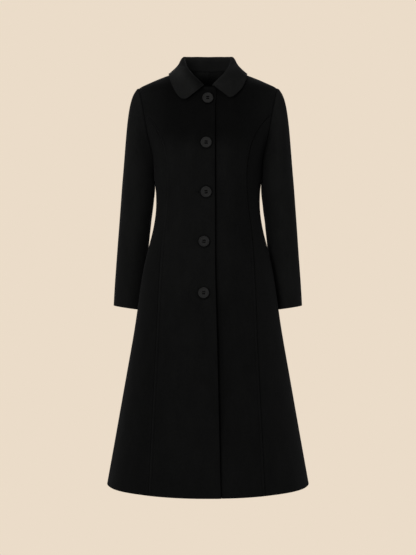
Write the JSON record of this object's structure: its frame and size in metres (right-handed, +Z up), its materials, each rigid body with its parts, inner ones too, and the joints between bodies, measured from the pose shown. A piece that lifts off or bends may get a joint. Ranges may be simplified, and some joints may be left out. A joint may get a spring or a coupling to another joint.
{
  "type": "long coat",
  "caption": "Long A-line wool coat, buttoned down the front, with curved armhole seams, a rounded turn-down collar and set-in sleeves, filled out and hollow.",
  "frame": {"origin": "middle of the neck opening at the height of the back neck seam, where the coat hangs from the wearer's neck and shoulders", "axes": "+Z up along the coat towards the collar, -Y is the buttoned front, +X is the wearer's left"},
  "size_m": [0.5584, 0.4149, 1.208],
  "materials": {
    "wool": "black wool coating with a short even nap, matt",
    "button": "dark grey, satin"
  },
  "bodies": {
    "root": {"right_front": "wool", "left_front": "wool", "right_side_front": "wool", "left_side_front": "wool", "right_back": "wool", "left_back": "wool", "right_sleeve": "wool", "left_sleeve": "wool", "collar": "wool", "button_1": "button", "button_2": "button", "button_3": "button", "button_4": "button", "button_5": "button"}
  },
  "joints": []
}
